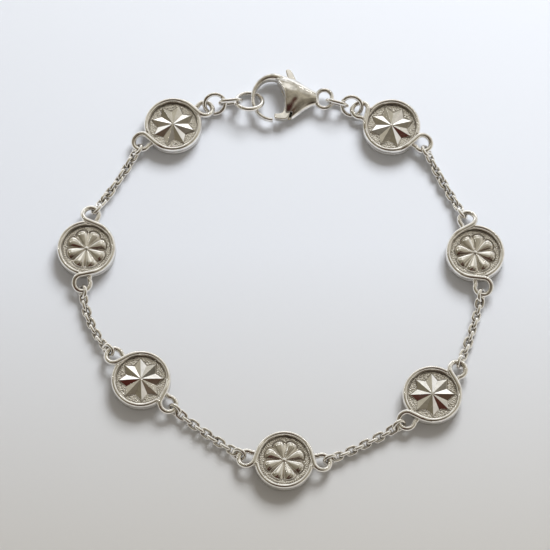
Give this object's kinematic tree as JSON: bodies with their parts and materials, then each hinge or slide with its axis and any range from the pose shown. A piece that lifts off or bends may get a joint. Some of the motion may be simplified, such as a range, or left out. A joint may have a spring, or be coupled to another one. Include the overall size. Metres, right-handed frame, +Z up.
{
  "type": "station bracelet",
  "caption": "Fine cable-chain bracelet with round cast medallions in raised rims, closed by a sprung lobster clasp; lies flat as a closed loop.",
  "frame": {"origin": "middle of the closed loop's bounding box, on the surface that the bracelet lies on", "axes": "+Z up from that surface, +Y towards the clasp, +X to the right as seen from above with the clasp at the top"},
  "size_m": [0.0696, 0.069, 0.0029],
  "materials": {
    "station_silver": "cast silver, polished on the rims and ridges, darker in the recesses",
    "chain_silver": "polished silver wire with fine wear",
    "ring_silver": "polished silver wire",
    "clasp_silver": "high-polish cast silver with hairline scratches",
    "lever_silver": "polished silver, softly brushed on the thumb tab"
  },
  "bodies": {
    "bracelet": {"station_1_star": "station_silver", "station_2_flower": "station_silver", "station_3_star": "station_silver", "station_4_flower": "station_silver", "station_5_star": "station_silver", "station_6_flower": "station_silver", "station_7_star": "station_silver", "chain_1": "chain_silver", "chain_2": "chain_silver", "chain_3": "chain_silver", "chain_4": "chain_silver", "chain_5": "chain_silver", "chain_6": "chain_silver", "jump_ring_left": "ring_silver", "link_left": "ring_silver", "clasp_ring": "ring_silver", "link_right": "ring_silver", "jump_ring_right": "ring_silver", "clasp_body": "clasp_silver"},
    "clasp_lever": {"clasp_lever": "lever_silver"}
  },
  "joints": [
    {"name": "clasp_lever_hinge", "type": "hinge", "parent": "bracelet", "child": "clasp_lever", "pos_m": [0.0018, 0.03125, 0.00142], "axis": [0, 0, 1], "range_deg": [-18, 0], "stiffness_Nm_per_rad": 0.002}
  ]
}
